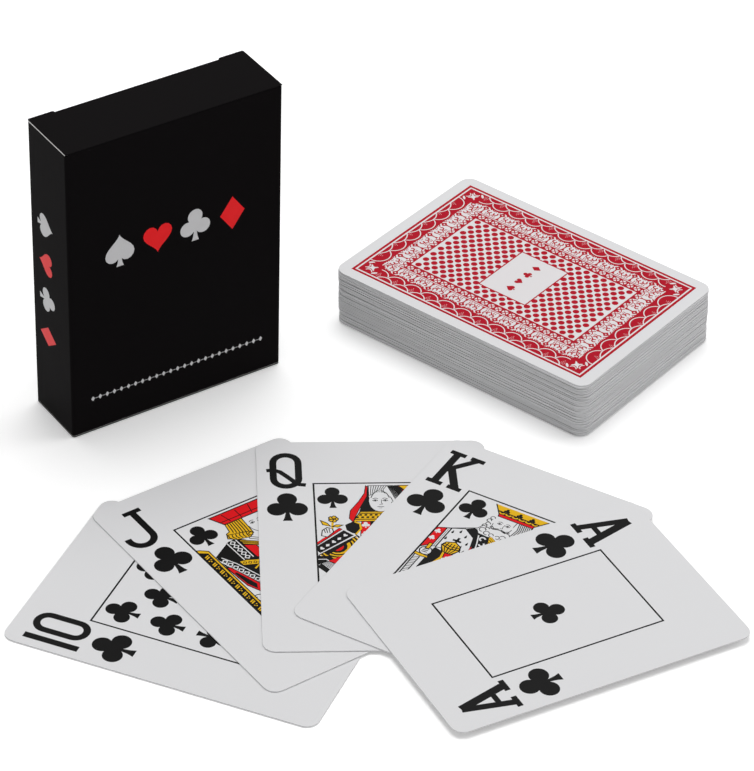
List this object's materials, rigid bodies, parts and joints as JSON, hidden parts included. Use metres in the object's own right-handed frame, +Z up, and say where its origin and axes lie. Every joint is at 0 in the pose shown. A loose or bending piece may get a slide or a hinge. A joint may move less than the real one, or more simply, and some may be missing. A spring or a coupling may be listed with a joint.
{
  "type": "playing card deck",
  "caption": "Playing card deck laid out for play: an upright tuck carton with a hinged lid, a face-down stack of cards and a face-up fan of clubs.",
  "frame": {"origin": "centre of the carton's underside, on the table", "axes": "+Z up; +X along the carton's width; +Y from the carton's front panel to its rear panel"},
  "size_m": [0.235, 0.195, 0.093],
  "materials": {
    "carton_board": "satin black laminated cardboard",
    "card_plastic": "smooth printed plastic"
  },
  "bodies": {
    "carton": {"box_sleeve": "carton_board", "box_bottom": "carton_board"},
    "lid": {"lid_panel": "carton_board"},
    "tab": {"tuck_tab": "carton_board"},
    "left_flap": {"dust_flap_left": "carton_board"},
    "right_flap": {"dust_flap_right": "carton_board"},
    "joker_black": {"card_joker_black": "card_plastic"},
    "joker_red": {"card_joker_red": "card_plastic"},
    "two_of_clubs": {"card_two_of_clubs": "card_plastic"},
    "three_of_clubs": {"card_three_of_clubs": "card_plastic"},
    "four_of_clubs": {"card_four_of_clubs": "card_plastic"},
    "five_of_clubs": {"card_five_of_clubs": "card_plastic"},
    "six_of_clubs": {"card_six_of_clubs": "card_plastic"},
    "seven_of_clubs": {"card_seven_of_clubs": "card_plastic"},
    "eight_of_clubs": {"card_eight_of_clubs": "card_plastic"},
    "nine_of_clubs": {"card_nine_of_clubs": "card_plastic"},
    "ace_of_diamonds": {"card_ace_of_diamonds": "card_plastic"},
    "two_of_diamonds": {"card_two_of_diamonds": "card_plastic"},
    "three_of_diamonds": {"card_three_of_diamonds": "card_plastic"},
    "four_of_diamonds": {"card_four_of_diamonds": "card_plastic"},
    "five_of_diamonds": {"card_five_of_diamonds": "card_plastic"},
    "six_of_diamonds": {"card_six_of_diamonds": "card_plastic"},
    "seven_of_diamonds": {"card_seven_of_diamonds": "card_plastic"},
    "eight_of_diamonds": {"card_eight_of_diamonds": "card_plastic"},
    "nine_of_diamonds": {"card_nine_of_diamonds": "card_plastic"},
    "ten_of_diamonds": {"card_ten_of_diamonds": "card_plastic"},
    "jack_of_diamonds": {"card_jack_of_diamonds": "card_plastic"},
    "queen_of_diamonds": {"card_queen_of_diamonds": "card_plastic"},
    "king_of_diamonds": {"card_king_of_diamonds": "card_plastic"},
    "ace_of_hearts": {"card_ace_of_hearts": "card_plastic"},
    "two_of_hearts": {"card_two_of_hearts": "card_plastic"},
    "three_of_hearts": {"card_three_of_hearts": "card_plastic"},
    "four_of_hearts": {"card_four_of_hearts": "card_plastic"},
    "five_of_hearts": {"card_five_of_hearts": "card_plastic"},
    "six_of_hearts": {"card_six_of_hearts": "card_plastic"},
    "seven_of_hearts": {"card_seven_of_hearts": "card_plastic"},
    "eight_of_hearts": {"card_eight_of_hearts": "card_plastic"},
    "nine_of_hearts": {"card_nine_of_hearts": "card_plastic"},
    "ten_of_hearts": {"card_ten_of_hearts": "card_plastic"},
    "jack_of_hearts": {"card_jack_of_hearts": "card_plastic"},
    "queen_of_hearts": {"card_queen_of_hearts": "card_plastic"},
    "king_of_hearts": {"card_king_of_hearts": "card_plastic"},
    "ace_of_spades": {"card_ace_of_spades": "card_plastic"},
    "two_of_spades": {"card_two_of_spades": "card_plastic"},
    "three_of_spades": {"card_three_of_spades": "card_plastic"},
    "four_of_spades": {"card_four_of_spades": "card_plastic"},
    "five_of_spades": {"card_five_of_spades": "card_plastic"},
    "six_of_spades": {"card_six_of_spades": "card_plastic"},
    "seven_of_spades": {"card_seven_of_spades": "card_plastic"},
    "eight_of_spades": {"card_eight_of_spades": "card_plastic"},
    "nine_of_spades": {"card_nine_of_spades": "card_plastic"},
    "ten_of_spades": {"card_ten_of_spades": "card_plastic"},
    "jack_of_spades": {"card_jack_of_spades": "card_plastic"},
    "queen_of_spades": {"card_queen_of_spades": "card_plastic"},
    "king_of_spades": {"card_king_of_spades": "card_plastic"},
    "ten_of_clubs": {"card_ten_of_clubs": "card_plastic"},
    "jack_of_clubs": {"card_jack_of_clubs": "card_plastic"},
    "queen_of_clubs": {"card_queen_of_clubs": "card_plastic"},
    "king_of_clubs": {"card_king_of_clubs": "card_plastic"},
    "ace_of_clubs": {"card_ace_of_clubs": "card_plastic"}
  },
  "joints": [
    {"name": "lid_hinge", "type": "hinge", "parent": "carton", "child": "lid", "pos_m": [0, -0.01025, 0.093], "axis": [1, 0, 0], "range_deg": [0, 250]},
    {"name": "tab_crease", "type": "hinge", "parent": "lid", "child": "tab", "pos_m": [0, 0.0091, 0.09255], "axis": [-1, 0, 0], "range_deg": [0, 35]},
    {"name": "left_flap_crease", "type": "hinge", "parent": "carton", "child": "left_flap", "pos_m": [-0.03293, 0, 0.09198], "axis": [0, 1, 0], "range_deg": [0, 80]},
    {"name": "right_flap_crease", "type": "hinge", "parent": "carton", "child": "right_flap", "pos_m": [0.03293, 0, 0.09198], "axis": [0, -1, 0], "range_deg": [0, 80]},
    {"name": "stack_lift", "type": "slide", "parent": "carton", "child": "joker_black", "axis": [0, 0, 1], "range_m": [0, 0.15]},
    {"name": "turn_joker_red", "type": "hinge", "parent": "joker_black", "child": "joker_red", "pos_m": [0.11356, -0.06854, 0], "axis": [0, 0, -1], "range_deg": [0, 3.3]},
    {"name": "turn_two_of_clubs", "type": "hinge", "parent": "joker_red", "child": "two_of_clubs", "pos_m": [0.11356, -0.06854, 0], "axis": [0, 0, -1], "range_deg": [0, 3.3]},
    {"name": "turn_three_of_clubs", "type": "hinge", "parent": "two_of_clubs", "child": "three_of_clubs", "pos_m": [0.11356, -0.06854, 0], "axis": [0, 0, -1], "range_deg": [0, 3.3]},
    {"name": "turn_four_of_clubs", "type": "hinge", "parent": "three_of_clubs", "child": "four_of_clubs", "pos_m": [0.11356, -0.06854, 0], "axis": [0, 0, -1], "range_deg": [0, 3.3]},
    {"name": "turn_five_of_clubs", "type": "hinge", "parent": "four_of_clubs", "child": "five_of_clubs", "pos_m": [0.11356, -0.06854, 0], "axis": [0, 0, -1], "range_deg": [0, 3.3]},
    {"name": "turn_six_of_clubs", "type": "hinge", "parent": "five_of_clubs", "child": "six_of_clubs", "pos_m": [0.11356, -0.06854, 0], "axis": [0, 0, -1], "range_deg": [0, 3.3]},
    {"name": "turn_seven_of_clubs", "type": "hinge", "parent": "six_of_clubs", "child": "seven_of_clubs", "pos_m": [0.11356, -0.06854, 0], "axis": [0, 0, -1], "range_deg": [0, 3.3]},
    {"name": "turn_eight_of_clubs", "type": "hinge", "parent": "seven_of_clubs", "child": "eight_of_clubs", "pos_m": [0.11356, -0.06854, 0], "axis": [0, 0, -1], "range_deg": [0, 3.3]},
    {"name": "turn_nine_of_clubs", "type": "hinge", "parent": "eight_of_clubs", "child": "nine_of_clubs", "pos_m": [0.11356, -0.06854, 0], "axis": [0, 0, -1], "range_deg": [0, 3.3]},
    {"name": "turn_ace_of_diamonds", "type": "hinge", "parent": "nine_of_clubs", "child": "ace_of_diamonds", "pos_m": [0.11356, -0.06854, 0], "axis": [0, 0, -1], "range_deg": [0, 3.3]},
    {"name": "turn_two_of_diamonds", "type": "hinge", "parent": "ace_of_diamonds", "child": "two_of_diamonds", "pos_m": [0.11356, -0.06854, 0], "axis": [0, 0, -1], "range_deg": [0, 3.3]},
    {"name": "turn_three_of_diamonds", "type": "hinge", "parent": "two_of_diamonds", "child": "three_of_diamonds", "pos_m": [0.11356, -0.06854, 0], "axis": [0, 0, -1], "range_deg": [0, 3.3]},
    {"name": "turn_four_of_diamonds", "type": "hinge", "parent": "three_of_diamonds", "child": "four_of_diamonds", "pos_m": [0.11356, -0.06854, 0], "axis": [0, 0, -1], "range_deg": [0, 3.3]},
    {"name": "turn_five_of_diamonds", "type": "hinge", "parent": "four_of_diamonds", "child": "five_of_diamonds", "pos_m": [0.11356, -0.06854, 0], "axis": [0, 0, -1], "range_deg": [0, 3.3]},
    {"name": "turn_six_of_diamonds", "type": "hinge", "parent": "five_of_diamonds", "child": "six_of_diamonds", "pos_m": [0.11356, -0.06854, 0], "axis": [0, 0, -1], "range_deg": [0, 3.3]},
    {"name": "turn_seven_of_diamonds", "type": "hinge", "parent": "six_of_diamonds", "child": "seven_of_diamonds", "pos_m": [0.11356, -0.06854, 0], "axis": [0, 0, -1], "range_deg": [0, 3.3]},
    {"name": "turn_eight_of_diamonds", "type": "hinge", "parent": "seven_of_diamonds", "child": "eight_of_diamonds", "pos_m": [0.11356, -0.06854, 0], "axis": [0, 0, -1], "range_deg": [0, 3.3]},
    {"name": "turn_nine_of_diamonds", "type": "hinge", "parent": "eight_of_diamonds", "child": "nine_of_diamonds", "pos_m": [0.11356, -0.06854, 0], "axis": [0, 0, -1], "range_deg": [0, 3.3]},
    {"name": "turn_ten_of_diamonds", "type": "hinge", "parent": "nine_of_diamonds", "child": "ten_of_diamonds", "pos_m": [0.11356, -0.06854, 0], "axis": [0, 0, -1], "range_deg": [0, 3.3]},
    {"name": "turn_jack_of_diamonds", "type": "hinge", "parent": "ten_of_diamonds", "child": "jack_of_diamonds", "pos_m": [0.11356, -0.06854, 0], "axis": [0, 0, -1], "range_deg": [0, 3.3]},
    {"name": "turn_queen_of_diamonds", "type": "hinge", "parent": "jack_of_diamonds", "child": "queen_of_diamonds", "pos_m": [0.11356, -0.06854, 0], "axis": [0, 0, -1], "range_deg": [0, 3.3]},
    {"name": "turn_king_of_diamonds", "type": "hinge", "parent": "queen_of_diamonds", "child": "king_of_diamonds", "pos_m": [0.11356, -0.06854, 0], "axis": [0, 0, -1], "range_deg": [0, 3.3]},
    {"name": "turn_ace_of_hearts", "type": "hinge", "parent": "king_of_diamonds", "child": "ace_of_hearts", "pos_m": [0.11356, -0.06854, 0], "axis": [0, 0, -1], "range_deg": [0, 3.3]},
    {"name": "turn_two_of_hearts", "type": "hinge", "parent": "ace_of_hearts", "child": "two_of_hearts", "pos_m": [0.11356, -0.06854, 0], "axis": [0, 0, -1], "range_deg": [0, 3.3]},
    {"name": "turn_three_of_hearts", "type": "hinge", "parent": "two_of_hearts", "child": "three_of_hearts", "pos_m": [0.11356, -0.06854, 0], "axis": [0, 0, -1], "range_deg": [0, 3.3]},
    {"name": "turn_four_of_hearts", "type": "hinge", "parent": "three_of_hearts", "child": "four_of_hearts", "pos_m": [0.11356, -0.06854, 0], "axis": [0, 0, -1], "range_deg": [0, 3.3]},
    {"name": "turn_five_of_hearts", "type": "hinge", "parent": "four_of_hearts", "child": "five_of_hearts", "pos_m": [0.11356, -0.06854, 0], "axis": [0, 0, -1], "range_deg": [0, 3.3]},
    {"name": "turn_six_of_hearts", "type": "hinge", "parent": "five_of_hearts", "child": "six_of_hearts", "pos_m": [0.11356, -0.06854, 0], "axis": [0, 0, -1], "range_deg": [0, 3.3]},
    {"name": "turn_seven_of_hearts", "type": "hinge", "parent": "six_of_hearts", "child": "seven_of_hearts", "pos_m": [0.11356, -0.06854, 0], "axis": [0, 0, -1], "range_deg": [0, 3.3]},
    {"name": "turn_eight_of_hearts", "type": "hinge", "parent": "seven_of_hearts", "child": "eight_of_hearts", "pos_m": [0.11356, -0.06854, 0], "axis": [0, 0, -1], "range_deg": [0, 3.3]},
    {"name": "turn_nine_of_hearts", "type": "hinge", "parent": "eight_of_hearts", "child": "nine_of_hearts", "pos_m": [0.11356, -0.06854, 0], "axis": [0, 0, -1], "range_deg": [0, 3.3]},
    {"name": "turn_ten_of_hearts", "type": "hinge", "parent": "nine_of_hearts", "child": "ten_of_hearts", "pos_m": [0.11356, -0.06854, 0], "axis": [0, 0, -1], "range_deg": [0, 3.3]},
    {"name": "turn_jack_of_hearts", "type": "hinge", "parent": "ten_of_hearts", "child": "jack_of_hearts", "pos_m": [0.11356, -0.06854, 0], "axis": [0, 0, -1], "range_deg": [0, 3.3]},
    {"name": "turn_queen_of_hearts", "type": "hinge", "parent": "jack_of_hearts", "child": "queen_of_hearts", "pos_m": [0.11356, -0.06854, 0], "axis": [0, 0, -1], "range_deg": [0, 3.3]},
    {"name": "turn_king_of_hearts", "type": "hinge", "parent": "queen_of_hearts", "child": "king_of_hearts", "pos_m": [0.11356, -0.06854, 0], "axis": [0, 0, -1], "range_deg": [0, 3.3]},
    {"name": "turn_ace_of_spades", "type": "hinge", "parent": "king_of_hearts", "child": "ace_of_spades", "pos_m": [0.11356, -0.06854, 0], "axis": [0, 0, -1], "range_deg": [0, 3.3]},
    {"name": "turn_two_of_spades", "type": "hinge", "parent": "ace_of_spades", "child": "two_of_spades", "pos_m": [0.11356, -0.06854, 0], "axis": [0, 0, -1], "range_deg": [0, 3.3]},
    {"name": "turn_three_of_spades", "type": "hinge", "parent": "two_of_spades", "child": "three_of_spades", "pos_m": [0.11356, -0.06854, 0], "axis": [0, 0, -1], "range_deg": [0, 3.3]},
    {"name": "turn_four_of_spades", "type": "hinge", "parent": "three_of_spades", "child": "four_of_spades", "pos_m": [0.11356, -0.06854, 0], "axis": [0, 0, -1], "range_deg": [0, 3.3]},
    {"name": "turn_five_of_spades", "type": "hinge", "parent": "four_of_spades", "child": "five_of_spades", "pos_m": [0.11356, -0.06854, 0], "axis": [0, 0, -1], "range_deg": [0, 3.3]},
    {"name": "turn_six_of_spades", "type": "hinge", "parent": "five_of_spades", "child": "six_of_spades", "pos_m": [0.11356, -0.06854, 0], "axis": [0, 0, -1], "range_deg": [0, 3.3]},
    {"name": "turn_seven_of_spades", "type": "hinge", "parent": "six_of_spades", "child": "seven_of_spades", "pos_m": [0.11356, -0.06854, 0], "axis": [0, 0, -1], "range_deg": [0, 3.3]},
    {"name": "turn_eight_of_spades", "type": "hinge", "parent": "seven_of_spades", "child": "eight_of_spades", "pos_m": [0.11356, -0.06854, 0], "axis": [0, 0, -1], "range_deg": [0, 3.3]},
    {"name": "turn_nine_of_spades", "type": "hinge", "parent": "eight_of_spades", "child": "nine_of_spades", "pos_m": [0.11356, -0.06854, 0], "axis": [0, 0, -1], "range_deg": [0, 3.3]},
    {"name": "turn_ten_of_spades", "type": "hinge", "parent": "nine_of_spades", "child": "ten_of_spades", "pos_m": [0.11356, -0.06854, 0], "axis": [0, 0, -1], "range_deg": [0, 3.3]},
    {"name": "turn_jack_of_spades", "type": "hinge", "parent": "ten_of_spades", "child": "jack_of_spades", "pos_m": [0.11356, -0.06854, 0], "axis": [0, 0, -1], "range_deg": [0, 3.3]},
    {"name": "turn_queen_of_spades", "type": "hinge", "parent": "jack_of_spades", "child": "queen_of_spades", "pos_m": [0.11356, -0.06854, 0], "axis": [0, 0, -1], "range_deg": [0, 3.3]},
    {"name": "turn_king_of_spades", "type": "hinge", "parent": "queen_of_spades", "child": "king_of_spades", "pos_m": [0.11356, -0.06854, 0], "axis": [0, 0, -1], "range_deg": [0, 3.3]},
    {"name": "hand_lift", "type": "slide", "parent": "carton", "child": "ten_of_clubs", "axis": [0, 0, 1], "range_m": [0, 0.15]},
    {"name": "turn_jack_of_clubs", "type": "hinge", "parent": "ten_of_clubs", "child": "jack_of_clubs", "pos_m": [-0.0147, -0.134, 0], "axis": [0, 0, 1], "range_deg": [0, 32.5]},
    {"name": "turn_queen_of_clubs", "type": "hinge", "parent": "jack_of_clubs", "child": "queen_of_clubs", "pos_m": [-0.0147, -0.134, 0], "axis": [0, 0, 1], "range_deg": [0, 32.5]},
    {"name": "turn_king_of_clubs", "type": "hinge", "parent": "queen_of_clubs", "child": "king_of_clubs", "pos_m": [-0.0147, -0.134, 0], "axis": [0, 0, 1], "range_deg": [0, 32.5]},
    {"name": "turn_ace_of_clubs", "type": "hinge", "parent": "king_of_clubs", "child": "ace_of_clubs", "pos_m": [-0.0147, -0.134, 0], "axis": [0, 0, 1], "range_deg": [0, 32.5]}
  ],
  "couplings": [
    {"joint": "turn_two_of_clubs", "follows": "turn_joker_red", "ratio": 1},
    {"joint": "turn_three_of_clubs", "follows": "turn_joker_red", "ratio": 1},
    {"joint": "turn_four_of_clubs", "follows": "turn_joker_red", "ratio": 1},
    {"joint": "turn_five_of_clubs", "follows": "turn_joker_red", "ratio": 1},
    {"joint": "turn_six_of_clubs", "follows": "turn_joker_red", "ratio": 1},
    {"joint": "turn_seven_of_clubs", "follows": "turn_joker_red", "ratio": 1},
    {"joint": "turn_eight_of_clubs", "follows": "turn_joker_red", "ratio": 1},
    {"joint": "turn_nine_of_clubs", "follows": "turn_joker_red", "ratio": 1},
    {"joint": "turn_ace_of_diamonds", "follows": "turn_joker_red", "ratio": 1},
    {"joint": "turn_two_of_diamonds", "follows": "turn_joker_red", "ratio": 1},
    {"joint": "turn_three_of_diamonds", "follows": "turn_joker_red", "ratio": 1},
    {"joint": "turn_four_of_diamonds", "follows": "turn_joker_red", "ratio": 1},
    {"joint": "turn_five_of_diamonds", "follows": "turn_joker_red", "ratio": 1},
    {"joint": "turn_six_of_diamonds", "follows": "turn_joker_red", "ratio": 1},
    {"joint": "turn_seven_of_diamonds", "follows": "turn_joker_red", "ratio": 1},
    {"joint": "turn_eight_of_diamonds", "follows": "turn_joker_red", "ratio": 1},
    {"joint": "turn_nine_of_diamonds", "follows": "turn_joker_red", "ratio": 1},
    {"joint": "turn_ten_of_diamonds", "follows": "turn_joker_red", "ratio": 1},
    {"joint": "turn_jack_of_diamonds", "follows": "turn_joker_red", "ratio": 1},
    {"joint": "turn_queen_of_diamonds", "follows": "turn_joker_red", "ratio": 1},
    {"joint": "turn_king_of_diamonds", "follows": "turn_joker_red", "ratio": 1},
    {"joint": "turn_ace_of_hearts", "follows": "turn_joker_red", "ratio": 1},
    {"joint": "turn_two_of_hearts", "follows": "turn_joker_red", "ratio": 1},
    {"joint": "turn_three_of_hearts", "follows": "turn_joker_red", "ratio": 1},
    {"joint": "turn_four_of_hearts", "follows": "turn_joker_red", "ratio": 1},
    {"joint": "turn_five_of_hearts", "follows": "turn_joker_red", "ratio": 1},
    {"joint": "turn_six_of_hearts", "follows": "turn_joker_red", "ratio": 1},
    {"joint": "turn_seven_of_hearts", "follows": "turn_joker_red", "ratio": 1},
    {"joint": "turn_eight_of_hearts", "follows": "turn_joker_red", "ratio": 1},
    {"joint": "turn_nine_of_hearts", "follows": "turn_joker_red", "ratio": 1},
    {"joint": "turn_ten_of_hearts", "follows": "turn_joker_red", "ratio": 1},
    {"joint": "turn_jack_of_hearts", "follows": "turn_joker_red", "ratio": 1},
    {"joint": "turn_queen_of_hearts", "follows": "turn_joker_red", "ratio": 1},
    {"joint": "turn_king_of_hearts", "follows": "turn_joker_red", "ratio": 1},
    {"joint": "turn_ace_of_spades", "follows": "turn_joker_red", "ratio": 1},
    {"joint": "turn_two_of_spades", "follows": "turn_joker_red", "ratio": 1},
    {"joint": "turn_three_of_spades", "follows": "turn_joker_red", "ratio": 1},
    {"joint": "turn_four_of_spades", "follows": "turn_joker_red", "ratio": 1},
    {"joint": "turn_five_of_spades", "follows": "turn_joker_red", "ratio": 1},
    {"joint": "turn_six_of_spades", "follows": "turn_joker_red", "ratio": 1},
    {"joint": "turn_seven_of_spades", "follows": "turn_joker_red", "ratio": 1},
    {"joint": "turn_eight_of_spades", "follows": "turn_joker_red", "ratio": 1},
    {"joint": "turn_nine_of_spades", "follows": "turn_joker_red", "ratio": 1},
    {"joint": "turn_ten_of_spades", "follows": "turn_joker_red", "ratio": 1},
    {"joint": "turn_jack_of_spades", "follows": "turn_joker_red", "ratio": 1},
    {"joint": "turn_queen_of_spades", "follows": "turn_joker_red", "ratio": 1},
    {"joint": "turn_king_of_spades", "follows": "turn_joker_red", "ratio": 1}
  ]
}
